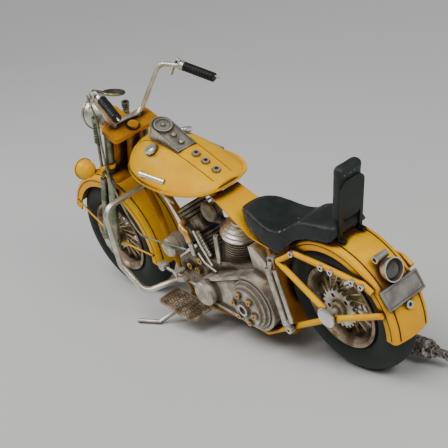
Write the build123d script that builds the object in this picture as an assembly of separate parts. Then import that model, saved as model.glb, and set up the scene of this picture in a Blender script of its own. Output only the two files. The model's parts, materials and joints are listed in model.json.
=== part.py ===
from build123d import *
import os
from math import cos, radians, sin

# Driving dimensions, in mm. The motorcycle is drawn upright: +X forward, +Y to its left,
# +Z up, with the rear tyre's lowest point at the origin. At the end it leans onto its stand.
WHEELBASE = 190.0
WHEEL_R = 36.7
TYRE_W = 17.8
RIM_R = 21.7
RAKE = 26.5
LEAN = 10.0
AXLE_R = 1.6
RUNNING_GAP = 0.05

FENDER_SKIN = 0.7
REAR_FENDER_R = 38.3
REAR_FENDER_HALF = 11.2
FRONT_FENDER_R = 41.2
FRONT_FENDER_HALF = 10.3

FORK_Y = 12.5
CLAMP_CORNER = 2.4
FORK_R = 2.2
HEAD_R = 4.0
STEM_R = 2.0
FRAME_TUBE_R = 1.8
STAY_R = 1.5
RAIL_Y = 15.5

CRANK = (90.0, 0.0, 24.0)
REAR_CYLINDER_ANGLE = -22.0
FRONT_CYLINDER_ANGLE = 26.0
CASE_HALF = 10.8
PIPE_Y = -13.3

TANK_LENGTH = 75.0
TANK_TAIL = (72.5, 0.0, 85.5)
TANK_PITCH = 5.7
TANK_SKIN = 0.8
# Stations along the tank: distance from its tail, half width, height over the seam, pan depth.
TANK_STATIONS = [
    (0.6, 8.6, 2.6, 1.2),
    (3.0, 13.6, 4.2, 2.0),
    (8.0, 17.8, 6.4, 3.0),
    (17.0, 21.4, 10.0, 4.2),
    (30.0, 22.8, 14.6, 5.2),
    (43.0, 22.0, 17.4, 5.4),
    (55.0, 19.2, 17.0, 4.8),
    (66.0, 14.6, 12.6, 3.6),
    (72.5, 9.2, 7.2, 2.2),
    (75.0, 4.6, 3.4, 1.2),
]

STAND_R = 1.3
STAND_PIVOT = Vector(126.0, 15.2, 11.0)

REAR_AXLE = Vector(0, 0, WHEEL_R)
FRONT_AXLE = Vector(WHEELBASE, 0, WHEEL_R)
HEAD_TOP = Vector(146.4, 0, 109.0)
HEAD_DOWN = Vector(sin(radians(RAKE)), 0, -cos(radians(RAKE)))
FLOOR_RISE = sin(radians(LEAN)) / cos(radians(LEAN))
HUB_HEIGHT = (WHEEL_R - TYRE_W / 2) * cos(radians(LEAN)) + TYRE_W / 2


def rod(start, end, radius):
    """A round bar between two points."""
    start = Vector(start)
    end = Vector(end)
    plane = Plane(origin=start, z_dir=end - start)
    return extrude(plane * Circle(radius), amount=(end - start).length)


def bent_tube(points, radius, bend):
    """A round tube along straight runs joined by tangent arcs."""
    path = FilletPolyline(*points, radius=bend)
    section = Plane(origin=path @ 0, z_dir=path % 0) * Circle(radius)
    return sweep(section, path=path)


def turned(origin, direction, profile):
    """A solid turned from (radius, height) points about an axis through origin."""
    outline = Polyline(*[(r, 0, h) for r, h in profile], close=True)
    solid = revolve(make_face(outline), axis=Axis.Z)
    return Plane(origin=origin, z_dir=direction) * solid


def ring(origin, direction, outer, inner, length):
    """A short open tube."""
    plane = Plane(origin=origin, z_dir=direction)
    return extrude(plane * (Circle(outer) - Circle(inner)), amount=length)


def side_plate(points, y_low, y_high):
    """A flat outline in the XZ plane, given thickness along Y."""
    face = make_face(Polyline(*[(x, y_low, z) for x, z in points], close=True))
    return extrude(face, amount=y_high - y_low, dir=(0, 1, 0))


def left_and_right(solid):
    return [solid, mirror(solid, about=Plane.XZ)]


def around(centre, radius, angle, y=0.0):
    """A point on a circle about a wheel's axle, its angle counted up from straight ahead."""
    turn = radians(angle)
    return Vector(centre.X + radius * cos(turn), y, centre.Z + radius * sin(turn))


def along_head(distance, forward=0.0, y=0.0):
    """A point measured down the steering axis, and forward of it."""
    ahead = Vector(cos(radians(RAKE)), 0, sin(radians(RAKE)))
    return HEAD_TOP + HEAD_DOWN * distance + ahead * forward + Vector(0, y, 0)


def fender(centre, outer, half, skirt, angle_from, angle_to):
    """A thin guard: a domed crown with rounded shoulders and flat side skirts."""
    def profile(radius, width, low):
        shoulder = radius - 2.9
        return make_face([
            Line((low, -width), (shoulder, -width)),
            ThreePointArc((shoulder, -width), (radius - 1.7, 0.6 - width), (radius - 1.0, 2.1 - width)),
            ThreePointArc((radius - 1.0, 2.1 - width), (radius, 0), (radius - 1.0, width - 2.1)),
            ThreePointArc((radius - 1.0, width - 2.1), (radius - 1.7, width - 0.6), (shoulder, width)),
            Line((shoulder, width), (low, width)),
            Line((low, width), (low, -width)),
        ])
    face = profile(outer, half, skirt) - profile(outer - FENDER_SKIN, half - FENDER_SKIN, skirt - 1)
    solid = revolve(face, axis=Axis.Y, revolution_arc=angle_to - angle_from)
    return Pos(centre) * Rot(0, -angle_to, 0) * solid


def round_end(solid, centre, outer, half, angle, corner):
    """Rounds the two corners at one end of a fender."""
    tip = Plane(origin=centre, x_dir=(0, 1, 0), z_dir=(cos(radians(angle)), 0, sin(radians(angle))))
    square = Rectangle(2 * half + 4, 2 * corner)
    block = extrude(tip * Pos(0, 0, outer - 12) * square, amount=14)
    tongue = RectangleRounded(2 * half, 4 * corner, corner * 0.98)
    keep = extrude(tip * Pos(0, 0, outer - 12) * tongue, amount=14)
    return solid - (block - keep)


def loft_stations(width_cut, height_of, length_cut):
    """The tank's round-topped body through its stations, in the seam's own frame."""
    sections = []
    for station in TANK_STATIONS:
        half = station[1] - width_cut
        high = height_of(station)
        x = station[0] + (length_cut if station is TANK_STATIONS[0] else 0)
        x -= length_cut if station is TANK_STATIONS[-1] else 0
        base = Line((x, half, 0), (x, -half, 0))
        crown = ThreePointArc((x, -half, 0), (x, 0, high), (x, half, 0))
        sections.append(make_face([base, crown]))
    return loft(sections)


# ---------------------------------------------------------------- wheels

def tyre(centre):
    body = Torus(WHEEL_R - TYRE_W / 2, TYRE_W / 2) - Cylinder(RIM_R, TYRE_W + 2)
    return Pos(centre) * Rot(90, 0, 0) * body


def rim(centre):
    half = [(RIM_R, 8.2), (RIM_R - 1.7, 8.2), (RIM_R - 2.4, 6.4), (RIM_R - 3.1, 4.0)]
    profile = half + [(r, -h) for r, h in reversed(half)]
    return turned(centre, (0, 1, 0), profile)


def laced_hub(centre, half_length, drum):
    """The hub with its two flanges and the spokes that are soldered to it."""
    flange_y = 6.0
    profile = [
        (AXLE_R + RUNNING_GAP, -half_length), (drum - 0.8, -half_length), (drum, -flange_y - 1.4),
        (7.2, -flange_y - 1.2), (7.2, -flange_y), (drum, -flange_y), (drum, flange_y),
        (7.2, flange_y), (7.2, flange_y + 1.2), (drum, flange_y + 1.4), (drum - 0.8, half_length),
        (AXLE_R + RUNNING_GAP, half_length),
    ]
    hub = turned(centre, (0, 1, 0), profile)
    count = 16
    for side in (1, -1):
        for index in range(count):
            foot_angle = 360 / count * index + (180 / count if side < 0 else 0)
            head = around(centre, 6.6, foot_angle, side * (flange_y + 0.6))
            nipple = around(centre, RIM_R - 3.2, foot_angle + side * 42, side * 2.2)
            hub = hub + rod(head, nipple, 0.5)
    return hub


def sprocket(centre):
    teeth = 22
    face = Circle(9.2) - Circle(4.55)
    for index in range(teeth):
        turn = Rot(0, 0, 360 / teeth * index)
        tooth = Polyline((8.9, -0.9), (10.5, -0.3), (10.5, 0.3), (8.9, 0.9), close=True)
        face = face + turn * make_face(tooth)
    for index in range(5):
        face = face - Rot(0, 0, 72 * index) * Pos(6.9, 0) * Circle(1.2)
    disc = extrude(face, amount=1.4)
    return Pos(centre) * Rot(-90, 0, 0) * Pos(0, 0, 7.5) * disc


def rear_axle():
    pin = rod((0, -17.2, WHEEL_R), (0, 17.2, WHEEL_R), AXLE_R)
    cap = turned((0, 17.2, WHEEL_R), (0, 1, 0), [(0, 0), (5.2, 0), (5.2, 0.9), (4.2, 1.5), (0, 1.7)])
    return pin + cap + mirror(cap, about=Plane.XZ)


def front_axle():
    pin = rod((WHEELBASE, -15.2, WHEEL_R), (WHEELBASE, 15.2, WHEEL_R), AXLE_R)
    cap = turned((WHEELBASE, 15.2, WHEEL_R), (0, 1, 0), [(0, 0), (3.0, 0), (3.0, 1.4), (0, 2.0)])
    return pin + cap + mirror(cap, about=Plane.XZ)


# ---------------------------------------------------------------- frame

def frame_backbone():
    head = rod(along_head(2.8), along_head(27.0), HEAD_R)
    points = [(153.5, 0, 89.6), (140, 0, 85.0), (110, 0, 80.2), (76, 0, 77.6), (58, 0, 66.5)]
    spine = bent_tube(points, 2.4, 8)
    bore = rod(along_head(-2), along_head(32), STEM_R + RUNNING_GAP)
    return head + spine - bore


def frame_down_tubes():
    """Two tubes from the steering head, under the engine and back to a plate behind it."""
    pieces = []
    for side in (1, -1):
        points = [(152, 3.2, 89.5), (141, 5, 62), (133.5, 8, 36), (122, 9, 11), (62, 9, 9.4), (41, 9, 13.8)]
        pieces.append(bent_tube([(x, side * y, z) for x, y, z in points], FRAME_TUBE_R, 7))
    plate = side_plate([(39.6, 12), (43.4, 12), (42.2, 62), (39.2, 62)], -10.6, 10.6)
    return pieces[0] + pieces[1] + plate + stand_bracket()


def stand_axis():
    deployed = stand_knee() - STAND_PIVOT
    folded = Vector(-1, 0.06, 0.02)
    return deployed.cross(folded).normalized()


def on_floor(x, y, lift):
    """A point at a height over the floor plane that the leaning machine stands on."""
    floor_z = y * FLOOR_RISE - (HUB_HEIGHT / cos(radians(LEAN)) - WHEEL_R)
    return Vector(x, y, floor_z + lift / cos(radians(LEAN)))


def stand_knee():
    return on_floor(132.5, 31.5, STAND_R)


def stand_bracket():
    """A fixed pin with a lower head and an upper lug, where the stand turns."""
    axis = stand_axis()
    pin = rod(STAND_PIVOT - axis * 1.9, STAND_PIVOT + axis * 3.6, 1.1)
    head = rod(STAND_PIVOT - axis * 2.6, STAND_PIVOT - axis * 1.85, 2.0)
    lug = rod(STAND_PIVOT + axis * 1.9, STAND_PIVOT + axis * 3.6, 2.6)
    arm = rod(STAND_PIVOT + axis * 2.9, (124.6, 9.6, 15.2), 1.2)
    return pin + head + lug + arm


def side_stand():
    axis = stand_axis()
    knee = stand_knee()
    toe = on_floor(144, 37.0, STAND_R)
    eye = rod(STAND_PIVOT - axis * 1.5, STAND_PIVOT + axis * 1.5, 2.5)
    leg_start = STAND_PIVOT + (knee - STAND_PIVOT).normalized() * 1.6
    leg = rod(leg_start, knee, STAND_R) + rod(knee, toe, STAND_R) + Pos(knee) * Sphere(STAND_R)
    tip = Pos(toe) * Sphere(STAND_R)
    return eye + leg + tip - rod(STAND_PIVOT - axis * 4, STAND_PIVOT + axis * 4, 1.1 + RUNNING_GAP)


def lower_rails():
    points = [(67, 10.8, 9.0), (57, 13.6, 10.6), (30, 15.2, 22.4), (0, RAIL_Y, 34.6), (-34, 12.9, 43.6)]
    return left_and_right(bent_tube(points, STAY_R, 6))


def rear_stays():
    """On each side, a ring-topped upper stay along the fender and a diagonal to the axle."""
    points = [(28.6, 15.2, 59.4), (17.2, 13.2, 65.2), (-27, 12.8, 58.2), (-31.5, 12.8, 54.6)]
    upper = bent_tube(points, STAY_R, 3)
    diagonal = rod((28.6, 15.2, 59.4), (2.2, 15.6, 39.4), STAY_R)
    return left_and_right(upper + diagonal)


def shocks():
    """On each side, two tubes side by side between an upper and a lower eye."""
    upper_eye = ring((31.4, 12.9, 59.8), (0, 1, 0), 2.4, 1.1, 4.4)
    lower_eye = ring((30.2, 17.2, 22.6), (0, 1, 0), 2.2, 1.0, 2.6)
    big = rod((33.2, 18.2, 56.5), (31.8, 18.4, 25), 2.0)
    small = rod((29.9, 17.4, 55.5), (28.6, 17.6, 26), 1.2)
    top = rod((31.4, 16.9, 59.8), (32.6, 18.0, 55.5), 1.5)
    low = rod((30.2, 18.4, 22.8), (30.9, 18.1, 27), 1.5)
    bridge = rod((29.9, 17.4, 54.5), (33.2, 18.2, 54.5), 1.0)
    bridge = bridge + rod((28.7, 17.6, 27.5), (31.9, 18.4, 27.5), 1.0)
    return left_and_right(upper_eye + lower_eye + big + small + top + low + bridge)


def crash_bar(side):
    points = [(147, 4.6, 76), (146.5, 33, 75.5), (146.5, 35, 42), (138, 31, 24.5), (129, 10.6, 24.5)]
    return bent_tube([(x, side * y, z) for x, y, z in points], 1.7, 7)


# ---------------------------------------------------------------- sheet metal

def rear_fender():
    body = fender(REAR_AXLE, REAR_FENDER_R, REAR_FENDER_HALF, 31.6, 50, 195)
    return round_end(body, REAR_AXLE, REAR_FENDER_R, REAR_FENDER_HALF, 195, 9)


def front_fender():
    """The guard with a flicked front tip and two thin stays on each side."""
    body = fender(FRONT_AXLE, FRONT_FENDER_R, FRONT_FENDER_HALF, 33.8, 24, 196)
    body = round_end(body, FRONT_AXLE, FRONT_FENDER_R, FRONT_FENDER_HALF, 196, 5)
    stays = []
    for side in (1, -1):
        lug = Vector(WHEELBASE, side * 10.9, WHEEL_R)
        for angle in (34, 186):
            end = around(FRONT_AXLE, 36.5, angle, side * (FRONT_FENDER_HALF + 0.3))
            start = around(FRONT_AXLE, 3.2, angle, side * 10.9)
            stays.append(rod(start, end, 0.6))
        stays.append(ring(lug - Vector(0, side * 0.3, 0), (0, side, 0), 3.6, AXLE_R + 0.1, 0.6))
    for stay in stays:
        body = body + stay
    boss = around(FRONT_AXLE, FRONT_FENDER_R - 0.3, 190)
    return body + ring(boss, boss - FRONT_AXLE, 1.9, 1.0, 1.6)


def seat_plate():
    """The bent sheet that carries the saddle from the tank to the rear fender."""
    under = [(78.2, 81.4), (52, 65.3), (38, 62.2), (24.5, 65.6)]
    over = [(24.5, 66.4), (38, 63.0), (51.8, 66.1), (77.8, 82.1)]
    sheet = side_plate(under + over, -12.6, 12.6)
    left_edge = [(80, 8.6), (50, 11.4), (24, 12.6)]
    edges = left_edge + [(x, -y) for x, y in reversed(left_edge)]
    plan = make_face(Polyline(*[(x, y, 50) for x, y in edges], close=True))
    return sheet & extrude(plan, amount=40, dir=(0, 0, 1))


def tank_place():
    return Pos(TANK_TAIL) * Rot(0, -TANK_PITCH, 0)


def on_tank(x, y, z):
    """A point given in the tank's own frame: from its tail, and over its seam."""
    return (tank_place() * Pos(x, y, z)).position


def tank_outer():
    return tank_place() * loft_stations(0, lambda s: s[2], 0)


def tank_lip():
    """The rolled seam lip that runs round the tank."""
    left = [(s[0], s[1] + 0.9) for s in TANK_STATIONS]
    tail = [(-0.5, 7.0)] + left + [(76.2, 3.6)]
    curve = Spline(*[(x, y) for x, y in tail])
    back = mirror(curve, about=Plane.XZ)
    closing = [Line(curve @ 0, back @ 0), Line(curve @ 1, back @ 1)]
    return extrude(make_face([curve, back] + closing), amount=0.9)


def tank_shell():
    inner = loft_stations(TANK_SKIN, lambda s: s[2] - TANK_SKIN, 0.5)
    lip = tank_lip()
    hollow = Pos(0, 0, -0.01) * inner
    shell = loft_stations(0, lambda s: s[2], 0) + lip - hollow
    return tank_place() * shell


def tank_pan():
    """The shallow lower half of the tank, folded up to the seam."""
    outer = mirror(loft_stations(0.2, lambda s: s[3], 0), about=Plane.XY)
    return tank_place() * outer


def tank_badges():
    plates = []
    for side in (1, -1):
        start = on_tank(27, side * 19.3, 4.2)
        end = on_tank(47, side * 20.0, 4.6)
        body = rod(start, end, 1.5)
        plates.append(body - tank_outer())
    return plates


def filler_caps():
    base = on_tank(44.0, 11.6, 14.0)
    tilt = Vector(0.05, 0.2, 1)
    cap = turned(base, tilt, [(0, 0), (2.6, 0), (2.6, 1.2), (3.3, 1.2), (3.3, 2.4), (2.9, 2.8), (0, 2.9)])
    return [piece - tank_outer() for piece in left_and_right(cap)]


DASH_BACK = Vector(99.6, 0, 103.0)
DASH_RUN = Vector(22.4, 0, 14.0).normalized()
DASH_UP = Vector(-DASH_RUN.Z, 0, DASH_RUN.X)


def on_dash(distance, lift=0.0, y=0.0):
    return DASH_BACK + DASH_RUN * distance + DASH_UP * lift + Vector(0, y, 0)


def dash_console():
    """The instrument console: a wedge with a round nose and a raised rim."""
    plane = Plane(origin=DASH_BACK, x_dir=DASH_RUN, z_dir=DASH_UP)
    plan = make_face([
        Line((0, -6.0), (20, -6.2)), ThreePointArc((20, -6.2), (26.2, 0), (20, 6.2)),
        Line((20, 6.2), (0, 6.0)), Line((0, 6.0), (0, -6.0))])
    body = extrude(plane * plan, amount=-14)
    tray = extrude(plane * offset(plan, amount=-0.7), amount=-0.6)
    return body - tray - tank_outer()


def dash_instruments():
    dial_profile = [(0, 0), (5.0, 0), (5.0, 1.3), (4.1, 1.3), (4.1, 0.8), (0, 0.8)]
    dial = turned(on_dash(19.2, -0.6), DASH_UP, dial_profile)
    hub = turned(on_dash(19.2, 0.2), DASH_UP, [(0, 0), (1.3, 0), (0.9, 1.0), (0, 1.2)])
    knobs = [turned(on_dash(d, -0.6), DASH_UP, [(0, 0), (1.5, 0), (1.2, 1.2), (0, 1.5)]) for d in (10.6, 4.6)]
    return [dial + hub] + knobs


def ring_rivet(origin, direction, outer=1.9, inner=1.05, length=1.8):
    return ring(origin, direction, outer, inner, length)


def ring_rivets():
    """The open ring rivets on the tank's centre line, the stays and the rear fender."""
    slope = Vector(-0.46, 0, 1)
    tank = tank_outer()
    rivets = [ring_rivet(on_tank(x, 0, z), slope) - tank for x, z in ((22.4, 11.6), (15.6, 8.8), (8.0, 5.9))]
    for x, z in ((17.0, 65.3), (-2.6, 62.2), (-8.6, 61.2)):
        rivets += left_and_right(ring_rivet((x, 14.1, z), (0, 1, 0), 1.5, 0.8, 1.3))
    for x, z in ((-21.8, 59.0), (-27.4, 57.9)):
        rivets.append(ring_rivet((x, 14.1, z), (0, 1, 0), 1.5, 0.8, 1.3))
    boss = around(REAR_AXLE, REAR_FENDER_R, 170)
    rivets.append(ring_rivet(boss, boss - REAR_AXLE, 1.9, 1.0, 1.6))
    return rivets


# ---------------------------------------------------------------- seat

def seat_pad():
    """A plain solid of the two-up saddle, shaped by its side view and its plan."""
    side = side_plate([
        (61.5, 77.6), (58, 80.4), (48, 81.2), (38, 78.4), (28, 75.8), (21, 77.6), (14, 82.0), (4, 83.4),
        (-14.1, 83.6), (-10.1, 74.4), (8, 73.4), (17, 70.4), (23, 65.6), (27, 64.6), (34, 66.6), (42, 66.0),
        (52, 67.6), (58, 72.0)], -20, 20)
    half = [(62, 4.5), (59, 7.6), (52, 11.4), (42, 14.8), (30, 16.8), (22, 16.0), (15, 13.4), (4, 13.0),
            (-15, 12.2)]
    outline = half + [(x, -y) for x, y in reversed(half)]
    plan = make_face(Polyline(*[(x, y, 50) for x, y in outline], close=True))
    plan = extrude(plan, amount=50, dir=(0, 0, 1))
    guard = Pos(REAR_AXLE) * Rot(90, 0, 0) * Cylinder(REAR_FENDER_R + 0.4, 2 * REAR_FENDER_HALF + 0.8)
    below = [(78.6, 80.9), (52.2, 64.8), (38, 61.6), (24, 65.0)]
    above = [(24, 66.9), (38, 63.5), (51.4, 66.6), (77.4, 82.7)]
    sheet = side_plate(below + above, -14, 14)
    return side & plan - guard - sheet


REST_FOOT = Vector(-11.9, 0, 74.2)
REST_UP = Vector(-0.37, 0, 0.929)
REST_FRONT = Vector(0.929, 0, 0.37)


def rest_plane(lift, forward):
    foot = REST_FOOT + REST_UP * lift + REST_FRONT * forward
    return Plane(origin=foot, x_dir=(0, 1, 0), z_dir=REST_FRONT)


def backrest_frame():
    """The round-topped back plate on its two legs, with a small foot pad under each."""
    outline = rest_plane(21.5, 0) * RectangleRounded(14.4, 22, 5)
    plate = extrude(outline, amount=1.1)
    solid = plate
    for side in (1, -1):
        leg = rest_plane(8.2, 0) * Pos(side * 6.3, 0) * Rectangle(1.8, 17.2)
        solid = solid + extrude(leg, amount=1.1)
        foot = Pos(REST_FOOT + Vector(-0.6, side * 6.3, -0.4)) * Box(3.6, 2.2, 0.9)
        solid = solid + foot
    return solid


def backrest_pad():
    shape = rest_plane(24.6, 1.15) * RectangleRounded(14.8, 27.8, 2.5)
    return extrude(shape, amount=6.2)


# ---------------------------------------------------------------- tail

PLATE_CENTRE = Vector(-35.6, 0, 50.0)
PLATE_OUT = Vector(-0.936, 0, 0.352)


def number_plate():
    plane = Plane(origin=PLATE_CENTRE + PLATE_OUT * 0.5, x_dir=(0, 1, 0), z_dir=PLATE_OUT)
    body = extrude(plane * Rectangle(22.8, 9.6), amount=1.4)
    panel = extrude(plane.offset(1.0) * Rectangle(21.2, 8.0), amount=1)
    return body - panel


TAIL_FACE = Vector(-36.2, 1.2, 61.4)
TAIL_OUT = Vector(-1, 0, 0.08)


def tail_light():
    """The bucket of the tail light and the cross tube above it."""
    profile = [(0, -6.2), (3.4, -6.2), (5.0, -3.6), (5.7, 0), (5.2, 0), (4.5, -3.2), (0, -4.4)]
    bucket = turned(TAIL_FACE, TAIL_OUT, profile)
    tube = ring((-30.6, -1.2, 67.6), (0, 1, 0), 1.8, 1.1, 7.4)
    neck = rod((-30.6, 0, 66.4), (-31.6, 0.6, 63.6), 0.9)
    guard = Pos(REAR_AXLE) * Rot(90, 0, 0) * Cylinder(REAR_FENDER_R, 3 * REAR_FENDER_HALF)
    return bucket + tube + neck - guard


def tail_light_lens():
    return turned(TAIL_FACE, TAIL_OUT, [(0, -3.0), (4.5, -3.0), (4.9, -1.6), (3.0, -0.8), (0, -0.4)])


# ---------------------------------------------------------------- engine

def cylinder_axis(angle):
    return Vector(sin(radians(angle)), 0, cos(radians(angle)))


def crankcase():
    outline = [(49, 17), (58, 13), (104, 13), (119, 16), (126, 27), (125, 38), (117, 42), (104, 46), (92, 43),
               (78, 45), (62, 40), (49, 36)]
    block = side_plate(outline, -CASE_HALF, CASE_HALF)
    tunnel = rod((55, 9, 9.4), (125, 9, 11.6), FRAME_TUBE_R + 0.1)
    return block - tunnel


def finned_barrel(angle, start, end, bore, fin, pitch):
    """A cylinder barrel with cooling fins turned on it."""
    profile = [(0, start), (bore, start)]
    height = start + 2.0
    while height + pitch < end:
        top = height + pitch * 0.45
        profile += [(bore, height), (fin, height), (fin, top), (bore, top)]
        height += pitch
    profile += [(bore, end), (0, end)]
    return turned(CRANK, cylinder_axis(angle), profile)


def front_cylinder():
    barrel = finned_barrel(FRONT_CYLINDER_ANGLE, 18.0, 35.0, 6.4, 7.8, 1.9)
    axis = cylinder_axis(FRONT_CYLINDER_ANGLE)
    head_plane = Plane(origin=Vector(CRANK) + axis * 34.6, x_dir=(0, 1, 0), z_dir=axis)
    solid = barrel + extrude(head_plane * RectangleRounded(15.6, 14.6, 2.5), amount=8.4)
    for level in (9.6, 11.8, 14.0):
        solid = solid + extrude(head_plane.offset(level) * RectangleRounded(16.4, 15.4, 4), amount=1.1)
    core = extrude(head_plane.offset(8) * RectangleRounded(12.6, 11.6, 3), amount=8)
    return solid + core - crankcase()


def rear_cylinder():
    return finned_barrel(REAR_CYLINDER_ANGLE, 14.0, 36.0, 8.5, 9.1, 1.6) - crankcase()


def rear_dome():
    """The rear head: bright rings stacked into a dome."""
    profile = [(0, 36.0), (9.6, 36.0), (10.2, 36.6), (10.2, 37.8), (9.2, 38.2), (9.4, 39.6), (8.0, 40.2),
               (8.2, 41.6), (6.6, 42.2), (6.6, 43.2), (4.8, 43.8), (4.6, 44.8), (0, 45.4)]
    return turned(CRANK, cylinder_axis(REAR_CYLINDER_ANGLE), profile)


def pushrod_tubes():
    """Two pushrod tubes and two threaded spring rods on the left of the engine."""
    front = rod((106.9, 12.2, 52.4), (106.4, 12.0, 44.4), 1.4)
    rear = rod((82.6, 10.6, 60), (86.6, 10.6, 43.6), 1.4)
    pieces = [front, rear]
    for start in (Vector(103.4, 9.6, 57.8), Vector(100.6, 9.6, 58.6)):
        span = Vector(-5.6, 0, 44.4 - start.Z)
        rings = 9
        profile = [(0, 0)]
        step = span.length / rings
        for index in range(rings):
            profile += [(0.9, step * index), (1.3, step * (index + 0.5))]
        profile += [(0.9, span.length), (0, span.length)]
        pieces.append(turned(start, span, profile))
    return pieces


def intake_elbow():
    points = [(111.6, 7.4, 61.6), (111.0, 12.2, 60.8), (107.4, 12.2, 58.0), (106.9, 12.2, 52.4)]
    return bent_tube(points, 1.9, 2.2)


def air_cleaner():
    disc_profile = [(0, 0), (5.4, 0), (5.7, 0.7), (5.4, 1.8), (4.2, 2.4), (0, 2.4)]
    disc = turned((90.4, 4.6, 69.6), (0, 1, 0), disc_profile)
    body = rod((90.4, -4.0, 69.6), (90.4, 4.7, 69.6), 3.1)
    manifold = rod((84.0, 0, 62.0), (101.5, 0, 62.0), 2.1)
    return disc + body + manifold + rod((90.4, 0, 62), (90.4, 0, 69), 2.3)


def generator():
    profile = [(0, 0), (5.6, 0), (5.6, 8.6), (6.1, 9.0), (6.1, 11.4), (5.4, 11.8), (5.4, 16.4), (4.6, 17.6),
               (0, 17.8)]
    return turned((122.2, 0.4, 47.8), (0, 1, 0), profile)


DOME_CENTRE = (56.0, 30.4)
BOSS_CENTRE = (93.5, 28.8)


def primary_cover():
    """The long chain cover: a flat case with a bright top rib and a round front boss."""
    dome = Pos(*DOME_CENTRE) * Circle(15.6)
    boss = Pos(*BOSS_CENTRE) * Circle(7.4)
    plan = make_hull(dome.edges() + boss.edges())
    plane = Plane(origin=(0, CASE_HALF, 0), x_dir=(1, 0, 0), z_dir=(0, -1, 0))
    body = extrude(plane * plan, amount=-6.2)
    rib = extrude(plane * (plan - offset(plan, amount=-1.8)), amount=-7.6)
    cap = turned((BOSS_CENTRE[0], CASE_HALF, BOSS_CENTRE[1]), (0, 1, 0),
                 [(0, 5), (7.0, 5), (7.0, 11.0), (6.0, 12.0), (0, 12.2)])
    return body + rib + cap


def clutch_dome():
    y = CASE_HALF + 6.2
    profile = [(0, 0), (13.4, 0), (13.4, 2.0), (11.8, 2.6), (11.8, 4.0), (10.2, 4.6), (10.2, 6.0), (5.0, 6.8),
               (3.4, 6.8), (3.4, 8.4), (2.2, 8.4), (2.2, 7.2), (0, 7.2)]
    return turned((DOME_CENTRE[0], y, DOME_CENTRE[1]), (0, 1, 0), profile)


def brass_bolts():
    """Ring-headed brass bolts round the clutch dome and on the crankcase."""
    bolts = []
    for index in range(6):
        place = around(Vector(DOME_CENTRE[0], 0, DOME_CENTRE[1]), 7.7, 60 * index + 18, CASE_HALF + 12.0)
        bolts.append(ring_rivet(place, (0, 1, 0), 1.4, 0.7, 2.2))
    for x, z in ((103.4, 41.2), (108.4, 34.4), (114.8, 35.8), (45.4, 30.0)):
        y = CASE_HALF if x > 60 else CASE_HALF - 0.2
        bolts.append(ring_rivet((x, y, z), (0, 1, 0), 1.9, 0.8, 1.8))
    return bolts


def oil_tank():
    outline = [(55.5, 59.6), (52, 60.0), (44.2, 52.6), (46.6, 40), (46.6, 37), (55.5, 39.4)]
    return side_plate(outline, -11.6, 11.6) - primary_cover()


def exhaust_pipes():
    front = bent_tube([(114.2, -6.6, 61.4), (121.4, PIPE_Y, 58.6), (121.4, PIPE_Y, 24), (104, PIPE_Y, 6.4),
                       (66, -14.4, 6.2), (26, -17, 5.6)], 2.1, 4.4)
    rear = bent_tube([(80.2, -7.0, 51.6), (77.4, -14.2, 48.4), (74.0, -14.2, 20), (66, -14.6, 6.4)], 1.9, 3.2)
    return front + rear


def muffler():
    """The long muffler on the right, with a stepped stub pipe at its end."""
    profile = [(0, 0), (2.6, 0), (4.9, 5), (4.9, 50), (4.2, 51), (3.2, 51.4), (3.2, 54), (2.1, 54.4),
               (2.1, 61.5), (2.5, 61.9), (2.5, 63.2), (1.5, 63.2), (1.5, 58), (0, 58)]
    return turned((26, -17, 5.6), Vector(-1, 0, -0.012), profile)


BOARD_RISE = 12.7


def floorboards():
    """A tread board on each side, with a rim, round bumps and two pegs under it."""
    place = Pos(114.4, 22.9, 17.2) * Rot(0, -BOARD_RISE, 0)
    slab = extrude(RectangleRounded(29.4, 15.0, 2.6), amount=1.3)
    slab = slab - Pos(0, 0, 0.9) * extrude(RectangleRounded(27.8, 13.4, 2.0), amount=1)
    for column in range(7):
        for row in range(3):
            bump = Cylinder(1.3, 0.8) - Cylinder(0.65, 0.9)
            slab = slab + Pos(-10.8 + 3.6 * column, -3.6 + 3.6 * row, 0.9) * bump
    for x in (-9.5, 9.5):
        slab = slab + Pos(x, 4.2, -0.7) * Cylinder(0.8, 1.6)
    arm = extrude(Pos(-9.2, -9.1, 0) * Rectangle(5, 6.0), amount=0.9)
    return left_and_right(place * (slab + arm))


def shift_linkage():
    """The shift rod along the left side, with its pad, round pedal and pivot boss."""
    shaft = rod((130.6, 18.4, 35.4), (99.6, 18.0, 28.4), 0.8)
    pad = Pos(113.2, 19.4, 32.6) * Rot(0, 12, 0) * Box(6.4, 4.2, 2.4)
    pedal = turned((131.6, 16.2, 35.8), (0, 1, 0), [(0, 0), (2.6, 0), (2.6, 4.0), (1.9, 4.4), (0, 4.0)])
    boss = rod((120.6, CASE_HALF, 33.2), (120.6, 19.4, 33.2), 1.5)
    return shaft + pad + pedal + boss


def engine_wires():
    """Bare bent wires: a feed from under the tank, and two rods down the engine's left."""
    feed = bent_tube([(134.5, 6.6, 84.6), (124.4, 9.0, 76.0), (114.8, 9.2, 72.2)], 0.6, 3)
    long_rod = bent_tube([(99.6, 12.6, 60.6), (95.2, 13.4, 52), (88.0, 14.8, 43.2)], 0.55, 5)
    low_rod = bent_tube([(101.6, 12.4, 46.4), (96.6, 13.4, 42.4), (88.0, 13.6, 38.8)], 0.6, 3)
    return [feed, long_rod, low_rod]


# ---------------------------------------------------------------- fork

LEG_TOP = Vector(153.2, 0, 109.6)
LEG_LOW = Vector(186.9, 0, 36.9)
SPRINGER_TOP = Vector(175.4, 0, 79.6)
SPRINGER_LOW = Vector(195.2, 0, 40.6)


def aside(point, y):
    return Vector(point.X, y, point.Z)


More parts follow.
